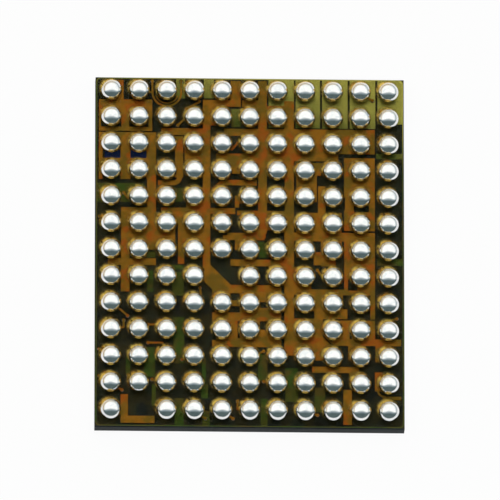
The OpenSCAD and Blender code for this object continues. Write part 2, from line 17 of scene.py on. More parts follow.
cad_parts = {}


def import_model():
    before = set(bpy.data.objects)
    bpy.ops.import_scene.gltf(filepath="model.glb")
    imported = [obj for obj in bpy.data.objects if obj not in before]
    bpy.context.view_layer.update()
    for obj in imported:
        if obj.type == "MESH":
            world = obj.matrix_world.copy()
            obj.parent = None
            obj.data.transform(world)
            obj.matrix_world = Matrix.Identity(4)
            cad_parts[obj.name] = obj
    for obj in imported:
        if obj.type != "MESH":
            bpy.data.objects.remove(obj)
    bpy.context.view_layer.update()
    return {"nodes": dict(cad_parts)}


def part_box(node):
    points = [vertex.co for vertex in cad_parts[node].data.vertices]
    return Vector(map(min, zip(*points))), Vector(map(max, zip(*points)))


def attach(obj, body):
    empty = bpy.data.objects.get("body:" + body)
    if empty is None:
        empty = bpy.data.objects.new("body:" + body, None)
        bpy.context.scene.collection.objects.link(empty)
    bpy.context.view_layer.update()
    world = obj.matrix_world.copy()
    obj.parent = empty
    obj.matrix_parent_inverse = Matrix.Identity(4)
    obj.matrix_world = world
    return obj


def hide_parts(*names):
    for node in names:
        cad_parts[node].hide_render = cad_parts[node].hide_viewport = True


LOG = logging.getLogger("ball_grid_array")
MICRON = 1e-6
MILLIMETRE = 1e-3
ROW_LETTERS = "abcdefghjklmn"
Colour = tuple[float, float, float]


class Slot(Enum):
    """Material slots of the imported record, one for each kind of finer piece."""

    LOWER_POLYIMIDE = "lower_polyimide"
    UPPER_POLYIMIDE = "upper_polyimide"
    BALL_METAL = "ball_metal"
    SOLDER = "solder"


class NodeSheet:
    """Adds and wires nodes in one node tree."""

    def __init__(self, tree: bpy.types.NodeTree) -> None:
        """Keeps the tree that the nodes go into."""
        self.tree = tree

    def add(self, kind: str, values: dict | None = None, **settings: object) -> bpy.types.Node:
        """Adds one node.

        Args:
            kind: Blender's name of the node type.
            values: What each input gets, by its name or number: a value, or a socket to link from.
            settings: Properties of the node itself.

        Returns:
            The new node.
        """
        made = self.tree.nodes.new(kind)
        for name, value in settings.items():
            setattr(made, name, value)
        for key, value in (values or {}).items():
            if isinstance(value, bpy.types.NodeSocket):
                self.tree.links.new(value, made.inputs[key])
            else:
                made.inputs[key].default_value = value
        return made

    def math(self, operation: str, *terms: object) -> bpy.types.NodeSocket:
        """Adds a Math node.

        Args:
            operation: Blender's name of the operation.
            terms: Its inputs in order, each a number or a socket.

        Returns:
            The node's result.
        """
        return self.add("ShaderNodeMath", dict(enumerate(terms)), operation=operation).outputs[0]

    def mix(self, share: object, first: object, second: object) -> bpy.types.NodeSocket:
        """Mixes two colours.

        Args:
            share: How much of the second colour shows, a number or a socket.
            first: The first colour, as a value or a socket.
            second: The second colour, as a value or a socket.

        Returns:
            The mixed colour.
        """
        values = {"Factor": share, 6: first, 7: second}
        return self.add("ShaderNodeMix", values, data_type="RGBA").outputs[2]

    def remap(self, value: bpy.types.NodeSocket, low: object, high: object) -> bpy.types.NodeSocket:
        """Turns the stretch from low to high into 0 to 1, with a smooth start and end.

        Args:
            value: The socket to read.
            low: What becomes 0, a number or a socket.
            high: What becomes 1, a number or a socket, which may lie below low.

        Returns:
            The share from 0 to 1.
        """
        values = {"Value": value, 1: low, 2: high}
        made = self.add("ShaderNodeMapRange", values, interpolation_type="SMOOTHSTEP")
        return made.outputs["Result"]

    def axes(self, space: str = "Object") -> bpy.types.bpy_prop_collection:
        """Gives X, Y and Z of the surface's place or direction in one of Blender's spaces."""
        place = self.add("ShaderNodeTexCoord").outputs[space]
        return self.add("ShaderNodeSeparateXYZ", {"Vector": place}).outputs


def rgba(colour: Colour) -> tuple[float, float, float, float]:
    """Adds full opacity to a colour."""
    return (*colour, 1.0)


class Effects:
    """Shader node groups that the finishes share, each built once."""

    @staticmethod
    def _new(name: str, inputs: dict[str, object], outputs: dict[str, str]) -> bpy.types.NodeTree:
        """Makes an empty group with its sockets.

        Args:
            name: Name of the group.
            inputs: Default value of each input, a number or a colour with opacity.
            outputs: Socket type of each output.

        Returns:
            The group's node tree.
        """
        tree = bpy.data.node_groups.new(name, "ShaderNodeTree")
        for label, value in inputs.items():
            kind = "NodeSocketColor" if isinstance(value, tuple) else "NodeSocketFloat"
            socket = tree.interface.new_socket(label, in_out="INPUT", socket_type=kind)
            socket.default_value = value
        for label, kind in outputs.items():
            tree.interface.new_socket(label, in_out="OUTPUT", socket_type=kind)
        return tree

    @classmethod
    def cloud_tint(cls) -> bpy.types.NodeTree:
        """Three colours that drift into each other in soft patches.

        Returns:
            The group, with inputs Size, Softness, Main, Second and Third.
        """
        found = bpy.data.node_groups.get("cloud_tint")
        if found:
            return found
        grey = (0.5, 0.5, 0.5, 1.0)
        inputs = {"Size": 1e-4, "Softness": 0.15, "Main": grey, "Second": grey, "Third": grey}
        tree = cls._new("cloud_tint", inputs, {"Colour": "NodeSocketColor"})
        sheet = NodeSheet(tree)
        into = sheet.add("NodeGroupInput").outputs
        place = sheet.add("ShaderNodeTexCoord").outputs["Object"]
        middle, third_edge, other_slice = 0.5, 0.04, 7.3
        frequency = sheet.math("DIVIDE", 1.0, into["Size"])
        low = sheet.math("SUBTRACT", middle, into["Softness"])
        high = sheet.math("ADD", middle, into["Softness"])
        first = sheet.add("ShaderNodeTexNoise", {"Vector": place, "Scale": frequency, "Detail": 3.0})
        second = sheet.add(
            "ShaderNodeTexNoise",
            {"Vector": place, "Scale": frequency, "Detail": 2.0, "W": other_slice},
            noise_dimensions="4D",
        )
        one = sheet.mix(sheet.remap(first.outputs[0], low, high), into["Main"], into["Second"])
        full = sheet.math("ADD", high, third_edge)
        both = sheet.mix(sheet.remap(second.outputs[0], middle, full), one, into["Third"])
        sheet.add("NodeGroupOutput", {"Colour": both})
        return tree

    @classmethod
    def fine_grain(cls) -> bpy.types.NodeTree:
        """Even grain for height and for roughness.

        Returns:
            The group, with inputs Size, Low and High and outputs Height and Range.
        """
        found = bpy.data.node_groups.get("fine_grain")
        if found:
            return found
        outputs = {"Height": "NodeSocketFloat", "Range": "NodeSocketFloat"}
        tree = cls._new("fine_grain", {"Size": 1e-5, "Low": 0.2, "High": 0.4}, outputs)
        sheet = NodeSheet(tree)
        into = sheet.add("NodeGroupInput").outputs
        place = sheet.add("ShaderNodeTexCoord").outputs["Object"]
        frequency = sheet.math("DIVIDE", 1.0, into["Size"])
        grain = sheet.add("ShaderNodeTexNoise", {"Vector": place, "Scale": frequency, "Detail": 4.0})
        spread = sheet.math("SUBTRACT", into["High"], into["Low"])
        value = sheet.math("MULTIPLY_ADD", grain.outputs[0], spread, into["Low"])
        sheet.add("NodeGroupOutput", {"Height": grain.outputs[0], "Range": value})
        return tree

    @classmethod
    def grain(
        cls, sheet: NodeSheet, size: float, limits: tuple[float, float] = (0.0, 1.0)
    ) -> bpy.types.bpy_prop_collection:
        """Places the fine_grain group.

        Args:
            sheet: Where the group goes.
            size: Size of the grain.
            limits: What its range runs between.

        Returns:
            The outputs Height and Range.
        """
        values = {"Size": size, "Low": limits[0], "High": limits[1]}
        return sheet.add("ShaderNodeGroup", values, node_tree=cls.fine_grain()).outputs

    @classmethod
    def ruled_lines(cls) -> bpy.types.NodeTree:
        """Fine parallel lines in two directions, as wiring shows through a passivation.

        Returns:
            The group, with inputs Spacing and Blocks and outputs Height and Mask.
        """
        found = bpy.data.node_groups.get("ruled_lines")
        if found:
            return found
        outputs = {"Height": "NodeSocketFloat", "Mask": "NodeSocketFloat"}
        tree = cls._new("ruled_lines", {"Spacing": 1e-5, "Blocks": 1e-4}, outputs)
        sheet = NodeSheet(tree)
        into = sheet.add("NodeGroupInput").outputs
        place = sheet.add("ShaderNodeTexCoord").outputs["Object"]
        # A wave texture repeats every pi / 10 of its coordinate
        repeats = sheet.math("DIVIDE", math.pi / 10, into["Spacing"])
        along = sheet.add(
            "ShaderNodeTexWave", {"Vector": place, "Scale": repeats}, bands_direction="X"
        ).outputs["Fac"]
        across = sheet.add(
            "ShaderNodeTexWave", {"Vector": place, "Scale": repeats}, bands_direction="Y"
        ).outputs["Fac"]
        block = sheet.math("DIVIDE", 1.0, into["Blocks"])
        cells = sheet.add(
            "ShaderNodeTexVoronoi", {"Vector": place, "Scale": block},
            distance="CHEBYCHEV", voronoi_dimensions="2D",
        )
        shade = sheet.add("ShaderNodeSeparateColor", {"Color": cells.outputs["Color"]})
        unturned_share = 0.5
        turned = sheet.math("GREATER_THAN", shade.outputs[0], unturned_share)
        lines = sheet.add("ShaderNodeMix", {"Factor": turned, 2: along, 3: across}).outputs[0]
        sheet.add("NodeGroupOutput", {"Height": lines, "Mask": shade.outputs[1]})
        return tree

    @classmethod
    def site_marks(cls, grid: "BallGrid") -> bpy.types.NodeTree:
        """Soft round marks, one beside each ball.

        Args:
            grid: Where the balls stand.

        Returns:
            The group, with inputs Inner, Outer, Aside and Beyond and output Mask.
        """
        found = bpy.data.node_groups.get("site_marks")
        if found:
            return found
        inputs = {"Inner": 1e-4, "Outer": 2e-4, "Aside": 0.0, "Beyond": 0.0}
        tree = cls._new("site_marks", inputs, {"Mask": "NodeSocketFloat"})
        sheet = NodeSheet(tree)
        into = sheet.add("NodeGroupInput").outputs
        axes = sheet.axes()
        columns = max(len(row) for row in grid.rows.values())
        offsets = []
        for axis, count, shift in (("X", columns, "Aside"), ("Y", len(grid.rows), "Beyond")):
            moved = sheet.math("SUBTRACT", axes[axis], into[shift])
            step = sheet.math("ROUND", sheet.math("DIVIDE", moved, grid.pitch))
            step = sheet.math("MINIMUM", step, (count - 1) / 2)
            step = sheet.math("MAXIMUM", step, (1 - count) / 2)
            offsets.append(sheet.math("SUBTRACT", moved, sheet.math("MULTIPLY", step, grid.pitch)))
        away = cls._length(sheet, *offsets)
        mask = sheet.math("SUBTRACT", 1.0, sheet.remap(away, into["Inner"], into["Outer"]))
        for site in grid.empty_sites():
            aside = sheet.math("SUBTRACT", axes["X"], sheet.math("ADD", into["Aside"], site.x))
            beyond = sheet.math("SUBTRACT", axes["Y"], sheet.math("ADD", into["Beyond"], site.y))
            clear = sheet.math("GREATER_THAN", cls._length(sheet, aside, beyond), into["Outer"])
            mask = sheet.math("MULTIPLY", mask, clear)
        sheet.add("NodeGroupOutput", {"Mask": mask})
        return tree

    @staticmethod
    def _length(sheet: NodeSheet, aside: object, beyond: object) -> bpy.types.NodeSocket:
        """Gives the length of a flat offset."""
        squares = sheet.math("ADD", sheet.math("POWER", aside, 2.0), sheet.math("POWER", beyond, 2.0))
        return sheet.math("SQRT", squares)


@dataclass(frozen=True)
class Tint:
    """Three colours and the size of the patches in which they mix."""

    main: Colour
    second: Colour
    third: Colour
    size: float
    softness: float = 0.12

    def socket(self, sheet: NodeSheet) -> bpy.types.NodeSocket:
        """Places the cloud_tint group with these colours.

        Args:
            sheet: Where the group goes.

        Returns:
            The colour that the group puts out.
        """
        values = {
            "Size": self.size, "Softness": self.softness, "Main": rgba(self.main),
            "Second": rgba(self.second), "Third": rgba(self.third),
        }
        made = sheet.add("ShaderNodeGroup", values, node_tree=Effects.cloud_tint())
        return made.outputs["Colour"]


@dataclass(frozen=True)
class Finish:
    """One surface finish: its colours, gloss and grain."""

    name: str
    tint: Tint
    roughness: tuple[float, float]
    grain: float
    bump: float
    metallic: float = 0.0
    specular: float = 0.5

    def material(self) -> bpy.types.Material:
        """Builds the material once and finds it again after that.

        Returns:
            The material of this finish.
        """
        found = bpy.data.materials.get(self.name)
        if found:
            return found
        made = bpy.data.materials.new(self.name)
        made.use_nodes = True
        sheet = NodeSheet(made.node_tree)
        shader = made.node_tree.nodes["Principled BSDF"]
        shader.inputs["Metallic"].default_value = self.metallic
        shader.inputs["Specular IOR Level"].default_value = self.specular
        grain = Effects.grain(sheet, self.grain, self.roughness)
        link = made.node_tree.links.new
        link(self.colour(sheet), shader.inputs["Base Color"])
        link(grain["Range"], shader.inputs["Roughness"])
        height = self.height(sheet, grain["Height"])
        bump = sheet.add("ShaderNodeBump", {"Height": height, "Distance": self.bump})
        link(bump.outputs["Normal"], shader.inputs["Normal"])
        self.refine(sheet, shader)
        return made

    def colour(self, sheet: NodeSheet) -> bpy.types.NodeSocket:
        """Gives the base colour, here the tint alone."""
        return self.tint.socket(sheet)

    def height(self, sheet: NodeSheet, grain: bpy.types.NodeSocket) -> bpy.types.NodeSocket:
        """Gives the height of the bump, here the grain alone."""
        return grain

    def refine(self, sheet: NodeSheet, shader: bpy.types.Node) -> None:
        """Lets a finish add to its shader; this one adds nothing."""


@dataclass(frozen=True, kw_only=True)
class RuledFinish(Finish):
    """A finish with fine ruled wiring in it."""

    spacing: float
    blocks: float
    line_colour: Colour
    line_share: float

    def _lines(self, sheet: NodeSheet) -> bpy.types.bpy_prop_collection:
        """Places the ruled_lines group with this finish's sizes and gives its outputs."""
        values = {"Spacing": self.spacing, "Blocks": self.blocks}
        return sheet.add("ShaderNodeGroup", values, node_tree=Effects.ruled_lines()).outputs

    def colour(self, sheet: NodeSheet) -> bpy.types.NodeSocket:
        """Darkens or lightens the tint along the lines.

        Args:
            sheet: Where the nodes go.

        Returns:
            The base colour.
        """
        lines = self._lines(sheet)
        share = sheet.math("MULTIPLY", lines["Height"], lines["Mask"])
        share = sheet.math("MULTIPLY", share, self.line_share)
        return sheet.mix(share, self.tint.socket(sheet), rgba(self.line_colour))

    def height(self, sheet: NodeSheet, grain: bpy.types.NodeSocket) -> bpy.types.NodeSocket:
        """Adds the lines to the grain."""
        return sheet.math("ADD", grain, self._lines(sheet)["Height"])


@dataclass(frozen=True, kw_only=True)
class FilmFinish(Finish):
    """A clear film, see-through from the front and left out where it is seen from inside."""

    opacity: tuple[float, float]
    drift: float

    def _share(self, sheet: NodeSheet) -> bpy.types.NodeSocket:
        """Gives how much the film hides, here a slow drift between its two limits."""
        return Effects.grain(sheet, self.drift, self.opacity)["Range"]

    def refine(self, sheet: NodeSheet, shader: bpy.types.Node) -> None:
        """Sets how much of what lies below shows through.

        Args:
            sheet: Where the nodes go.
            shader: The film's shader.
        """
        inside = sheet.add("ShaderNodeNewGeometry").outputs["Backfacing"]
        shown = sheet.math("SUBTRACT", 1.0, inside)
        alpha = sheet.math("MULTIPLY", self._share(sheet), shown)
        sheet.tree.links.new(alpha, shader.inputs["Alpha"])


@dataclass(frozen=True, kw_only=True)
class StainedGlowFilmFinish(FilmFinish):
    """A clear film with amber flux residue and a painted golden glow beside each ball, on the side
    the light comes from.
    """

    grid: "BallGrid"
    # The gold colour paints a glow of light thrown off each ball; the brown one is the flux residue
    # itself.
    residue_glow: Colour = (1.0, 0.70, 0.14)
    dark_residue: Colour = (0.60, 0.27, 0.035)
    residue_glow_share: float = 0.85
    inner: float = 0.11 * MILLIMETRE
    outer: float = 0.185 * MILLIMETRE
    # The marks sit off towards -X and +Y, where the light comes from, so that the painted glow lies
    # on the lit side of each ball.
    aside: float = -0.02 * MILLIMETRE
    beyond: float = 0.058 * MILLIMETRE
    blotch: float = 0.06 * MILLIMETRE
    blotch_edges: tuple[float, float] = (0.22, 0.58)
    patch: float = 0.34 * MILLIMETRE
    patch_gain: float = 1.3
    gold_per_patch: int = 3
    gold_edges: tuple[float, float] = (0.30, 0.62)
    # There is more of the residue and its painted glow towards the last row, at -Y.
    faint_row: float = 2.4 * MILLIMETRE
    strong_row: float = -1.2 * MILLIMETRE
    row_gain: float = 0.6
    least: float = 0.15

    def _residue_glow_mask(self, sheet: NodeSheet) -> bpy.types.NodeSocket:
        """Gives where the residue and its painted glow lie, in blotches, with more of them towards
        the last row.

        Args:
            sheet: Where the nodes go.

        Returns:
            The mask.
        """
        values = {
            "Inner": self.inner, "Outer": self.outer, "Aside": self.aside, "Beyond": self.beyond,
        }
        marks = sheet.add("ShaderNodeGroup", values, node_tree=Effects.site_marks(self.grid))
        blotches = sheet.remap(Effects.grain(sheet, self.blotch)["Range"], *self.blotch_edges)
        lower = sheet.remap(sheet.axes()["Y"], self.faint_row, self.strong_row)
        most = sheet.math("MULTIPLY_ADD", lower, self.row_gain, self.least)
        patch = Effects.grain(sheet, self.patch)["Range"]
        patches = sheet.math("MULTIPLY_ADD", patch, self.patch_gain, most)
        broken = sheet.math("MULTIPLY", blotches, sheet.math("MINIMUM", patches, 1.0))
        return sheet.math("MULTIPLY", marks.outputs["Mask"], broken)

    def colour(self, sheet: NodeSheet) -> bpy.types.NodeSocket:
        """Mixes the residue, from brown flux residue to the gold of a painted glow, into the film's
        tint.

        Args:
            sheet: Where the nodes go.

        Returns:
            The base colour.
        """
        grain = Effects.grain(sheet, self.patch / self.gold_per_patch)["Range"]
        golden = sheet.remap(grain, *self.gold_edges)
        residue_glow = sheet.mix(golden, rgba(self.dark_residue), rgba(self.residue_glow))
        return sheet.mix(self._residue_glow_mask(sheet), self.tint.socket(sheet), residue_glow)

    def _share(self, sheet: NodeSheet) -> bpy.types.NodeSocket:
        """Lets the residue and its painted glow hide more than the film alone."""
        extra = sheet.math("MULTIPLY", self._residue_glow_mask(sheet), self.residue_glow_share)
        return sheet.math("ADD", super()._share(sheet), extra)


@dataclass(frozen=True)
class CircuitFinish(RuledFinish):
    """Ruled circuit layers that are deep blue in one stretch near the left edge."""

    blue: Colour = (0.006, 0.030, 0.150)
    left: float = -2.10 * MILLIMETRE
    right: float = -1.40 * MILLIMETRE
    bottom: float = 1.30 * MILLIMETRE
    top: float = 1.62 * MILLIMETRE
    soft: float = 10 * MICRON

    def colour(self, sheet: NodeSheet) -> bpy.types.NodeSocket:
        """Mixes the blue in where the stretch lies.

        Args:
            sheet: Where the nodes go.

        Returns:
            The base colour.
        """
        axes = sheet.axes()
        from_left = sheet.remap(axes["X"], self.left, self.left + self.soft)
        from_right = sheet.remap(axes["X"], self.right, self.right - self.soft)
        across = sheet.math("MULTIPLY", from_left, from_right)
        above = sheet.remap(axes["Y"], self.bottom, self.bottom + self.soft)
        below = sheet.remap(axes["Y"], self.top, self.top - self.soft)
        share = sheet.math("MULTIPLY", across, sheet.math("MULTIPLY", above, below))
        return sheet.mix(share, super().colour(sheet), rgba(self.blue))


@dataclass(frozen=True)
class StrapFinish(RuledFinish):
    """Ruled metal that is paler towards one corner of the die."""

    corner: Colour = (0.46, 0.42, 0.08)
    slant: float = 0.25
    start: float = 1.70 * MILLIMETRE
    end: float = 2.80 * MILLIMETRE

    def colour(self, sheet: NodeSheet) -> bpy.types.NodeSocket:
        """Mixes the corner's colour in towards +X and +Y.

        Args:
            sheet: Where the nodes go.

        Returns:
            The base colour.
        """
        axes = sheet.axes()
        reach = sheet.math("MULTIPLY_ADD", axes["X"], self.slant, axes["Y"])
        near = sheet.remap(reach, self.start, self.end)
        return sheet.mix(near, super().colour(sheet), rgba(self.corner))


@dataclass(frozen=True)
class FluxGlowFinish(Finish):
    """Bright solder with a thin coat of amber flux low on the flank of each ball that faces the
    light, which paints a golden glow there.
    """

    flux_glow: Colour = (0.74, 0.49, 0.10)
    # aside and beyond turn the painted glow towards the light, at -X and +Y.
    aside: float = -0.45
    beyond: float = 0.89
    turned: tuple[float, float] = (0.34, 0.68)
    raised: tuple[float, float] = (0.84, 0.50)
    blotch: float = 0.05 * MILLIMETRE
    blotch_edges: tuple[float, float] = (0.15, 0.50)

    def _flux_glow_coat(self, sheet: NodeSheet) -> bpy.types.NodeSocket:
        """Gives where the flux and its painted glow lie: low down, towards -X and +Y where the light
        comes from, and patchy.

        Args:
            sheet: Where the nodes go.

        Returns:
            The mask.
        """
        axes = sheet.axes("Normal")
        across = sheet.math("MULTIPLY", axes["X"], self.aside)
        facing = sheet.math("MULTIPLY_ADD", axes["Y"], self.beyond, across)
        flank = sheet.math(
            "MULTIPLY", sheet.remap(facing, *self.turned), sheet.remap(axes["Z"], *self.raised)
        )
        blotches = sheet.remap(Effects.grain(sheet, self.blotch)["Range"], *self.blotch_edges)
        return sheet.math("MULTIPLY", flank, blotches)

    def colour(self, sheet: NodeSheet) -> bpy.types.NodeSocket:
        """Mixes the flux, a painted golden glow, into the solder's tint."""
        return sheet.mix(self._flux_glow_coat(sheet), super().colour(sheet), rgba(self.flux_glow))

    def refine(self, sheet: NodeSheet, shader: bpy.types.Node) -> None:
        """Makes the solder less of a metal where the flux lies, so that the painted glow takes the
        light.

        Args:
            sheet: Where the nodes go.
            shader: The solder's shader.
        """
        bare = sheet.math("SUBTRACT", self.metallic, self._flux_glow_coat(sheet))
        sheet.tree.links.new(bare, shader.inputs["Metallic"])


SOLDER = FluxGlowFinish(
    "reflowed_solder", Tint((0.80, 0.81, 0.80), (0.86, 0.86, 0.84), (0.74, 0.76, 0.77), 60 * MICRON),
    roughness=(0.08, 0.20), grain=14 * MICRON, bump=0.12 * MICRON, metallic=1.0,
)
BALL_METAL = Finish(
    "plated_nickel", Tint((0.50, 0.46, 0.38), (0.42, 0.38, 0.30), (0.56, 0.50, 0.42), 30 * MICRON),
    roughness=(0.25, 0.45), grain=6 * MICRON, bump=0.2 * MICRON, metallic=1.0,
)
COPPER = Finish(
    "plated_copper",
    Tint((0.31, 0.128, 0.012), (0.17, 0.100, 0.012), (0.34, 0.090, 0.010), 170 * MICRON),
    roughness=(0.26, 0.50), grain=8 * MICRON, bump=0.3 * MICRON, metallic=1.0,
)
LOWER_FILM = FilmFinish(
    "lower_polyimide_amber",
    Tint((0.010, 0.010, 0.003), (0.008, 0.011, 0.004), (0.014, 0.010, 0.002), 200 * MICRON),
    roughness=(0.10, 0.22), grain=40 * MICRON, bump=0.3 * MICRON, specular=0.05,
    opacity=(0.06, 0.18), drift=120 * MICRON,
)
CIRCUIT = CircuitFinish(
    "passivated_circuit",
    Tint((0.032, 0.029, 0.008), (0.014, 0.025, 0.012), (0.006, 0.013, 0.011), 230 * MICRON, 0.10),
    roughness=(0.15, 0.35), grain=10 * MICRON, bump=0.15 * MICRON, specular=0.10,
    spacing=9 * MICRON, blocks=170 * MICRON, line_colour=(0.10, 0.070, 0.015), line_share=0.5,
)
TOP_METAL = StrapFinish(
    "ruled_top_metal",
    Tint((0.085, 0.092, 0.014), (0.050, 0.100, 0.014), (0.120, 0.085, 0.018), 320 * MICRON, 0.10),
    roughness=(0.25, 0.45), grain=8 * MICRON, bump=0.2 * MICRON, metallic=1.0,
    spacing=14 * MICRON, blocks=300 * MICRON, line_colour=(0.026, 0.036, 0.008), line_share=0.6,
)
PADS = Finish(
    "bare_aluminium", Tint((0.60, 0.60, 0.58), (0.52, 0.52, 0.50), (0.66, 0.64, 0.60), 20 * MICRON),
    roughness=(0.25, 0.4), grain=5 * MICRON, bump=0.2 * MICRON, metallic=1.0,
)
SILICON = Finish(
    "sawn_silicon",
    Tint((0.016, 0.024, 0.025), (0.011, 0.017, 0.018), (0.024, 0.030, 0.031), 90 * MICRON),
    roughness=(0.45, 0.70), grain=12 * MICRON, bump=1.2 * MICRON, specular=0.08,
)
BACKSIDE = Finish(
    "laminated_backside",
    Tint((0.022, 0.022, 0.024), (0.030, 0.030, 0.031), (0.016, 0.016, 0.018), 70 * MICRON),
    roughness=(0.55, 0.75), grain=18 * MICRON, bump=1.5 * MICRON,
)


@dataclass(frozen=True)
class BallGrid:
    """Places and heights that the sub-assemblies share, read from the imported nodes."""

    pitch: float
    rows: dict[str, list[Vector]]
    ball_radius: float
    neck_radius: float
    neck_z: float
    top_z: float
    seat_z: float

    @property
    def neck_depth(self) -> float:
        """Depth of a ball's neck below its middle, as a share of half its whole height."""
        return math.sqrt(1 - (self.neck_radius / self.ball_radius) ** 2)

    @property
    def half_height(self) -> float:
        """Height of a ball's crown above its middle."""
        return (self.top_z - self.neck_z) / (1 + self.neck_depth)

    @property
    def ball_middle(self) -> float:
        """Height of the balls' middles."""
        return self.top_z - self.half_height

    @classmethod
    def from_frame(cls) -> "BallGrid":
        """Reads the grid from the solder rows.

        Returns:
            The grid, with the middle of each ball's neck, row by row.
        """
        first, last = ROW_LETTERS[0], ROW_LETTERS[-1]
        middle = {}
        for letter in ROW_LETTERS:
            low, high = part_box(f"solder_row_{letter}")
            middle[letter] = (low + high) / 2
        pitch = (middle[first].y - middle[last].y) / (len(ROW_LETTERS) - 1)
        low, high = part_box(f"solder_row_{first}")
        radius = (high.y - low.y) / 2
        metal_low, metal_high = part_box(f"ball_metal_row_{first}")
        neck = (metal_high.y - metal_low.y) / 2
        rows = {}
        for letter in ROW_LETTERS:
            rows[letter] = cls._necks(f"solder_row_{letter}", pitch, middle[letter].y, low.z)
        return cls(pitch, rows, radius, neck, low.z, high.z, metal_low.z)

    def empty_sites(self) -> list[Vector]:
        """Finds the places inside the grid that hold no ball.

        Returns:
            The middle of each empty place.
        """
        widest = max(self.rows.values(), key=len)
        empty = []
        for row in self.rows.values():
            filled = {round(place.x / self.pitch) for place in row}
            for place in widest:
                if round(place.x / self.pitch) not in filled:
                    empty.append(Vector((place.x, row[0].y, 0.0)))
        return empty

    @staticmethod
    def _necks(node: str, pitch: float, y: float, z: float) -> list[Vector]:
        """Finds which columns of a row hold a ball.

        Args:
            node: The row's solder node.
            pitch: Distance between columns.
            y: The row's middle.
            z: Height of the necks.

        Returns:
            The middle of each neck in the row.
        """
        mesh = bpy.data.objects[node].data
        xs = np.array([vertex.co.x for vertex in mesh.vertices])
        columns = sorted(set(np.round(xs / pitch).astype(int).tolist()))
        return [Vector((column * pitch, y, z)) for column in columns]


def revolve(profile: list[tuple[float, float]], segments: int) -> tuple[np.ndarray, list[tuple]]:
    """Turns a profile round the Z axis.

    Args:
        profile: Radius and height from the top pole to the bottom pole, both poles on the axis.
        segments: Steps round the axis.

    Returns:
        The points and the faces, which point outwards.
    """
    turns = np.arange(segments) * (2 * math.pi / segments)
    rings = [
        np.stack([r * np.cos(turns), r * np.sin(turns), np.full(segments, z)], axis=1)
        for r, z in profile[1:-1]
    ]
    points = np.vstack([[[0, 0, profile[0][1]]], *rings, [[0, 0, profile[-1][1]]]])
    last = len(points) - 1
    faces: list[tuple] = []
    for i in range(segments):
        j = (i + 1) % segments
        faces.append((0, 1 + i, 1 + j))
        for k in range(len(rings) - 1):
            here, below = 1 + k * segments, 1 + (k + 1) * segments
            faces.append((here + i, below + i, below + j, here + j))
        foot = 1 + (len(rings) - 1) * segments
        faces.append((foot + i, last, foot + j))
    return points, faces


def repeat(blocks: list[np.ndarray], faces: list[tuple]) -> tuple[np.ndarray, list[tuple]]:
    """Joins copies of one shape.

    Args:
        blocks: The points of each copy, all in the same order.
        faces: Numbers of the points round each face of one copy.

    Returns:
        All the points, and the faces of every copy.
    """
    count = len(blocks[0])
    numbered = [tuple(k * count + n for n in face) for k in range(len(blocks)) for face in faces]
    return np.vstack(blocks), numbered


def link_smooth(name: str, mesh: bpy.types.Mesh, crease: float) -> bpy.types.Object:
    """Shades a mesh smooth and makes an object of it.

    Args:
        name: Name of the object.
        mesh: Its mesh.
        crease: Angle in radians above which an edge stays sharp.

    Returns:
        The object, linked to the scene.
    """
    mesh.polygons.foreach_set("use_smooth", [True] * len(mesh.polygons))
    mesh.set_sharp_from_angle(angle=crease)
    made = bpy.data.objects.new(name, mesh)
    bpy.context.scene.collection.objects.link(made)
    return made


def mesh_piece(name: str, points: np.ndarray, faces: list[tuple], crease: float) -> bpy.types.Object:
    """Makes an object from points and faces.

    Args:
        name: Name of the object.
        points: One row a point, in metres.
        faces: Numbers of the points round each face.
        crease: Angle in radians above which an edge stays sharp.

    Returns:
        The object, linked to the scene.
    """
    mesh = bpy.data.meshes.new(name)
    mesh.from_pydata(points.tolist(), [], faces)
    mesh.validate()
    return link_smooth(name, mesh, crease)


def dress_node(node: str, finish: Finish) -> None:
    """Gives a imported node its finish.

    Args:
        node: Name of the node.
        finish: What its surface gets.
    """
    shown = bpy.data.objects[node]
    for slot in shown.material_slots:
        slot.material = finish.material()
    LOG.info("dressed %s as %s", node, finish.name)


def stand_in(piece: bpy.types.Object, node: str, finish: Finish) -> None:
    """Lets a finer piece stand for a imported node.

    Args:
        piece: The finer piece.
        node: The node that it stands for.
        finish: What its surface gets.
    """
    piece.data.materials.clear()
    piece.data.materials.append(finish.material())
    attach(piece, "root")
    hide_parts(node)
    LOG.info("made %s with %d faces", piece.name, len(piece.data.polygons))


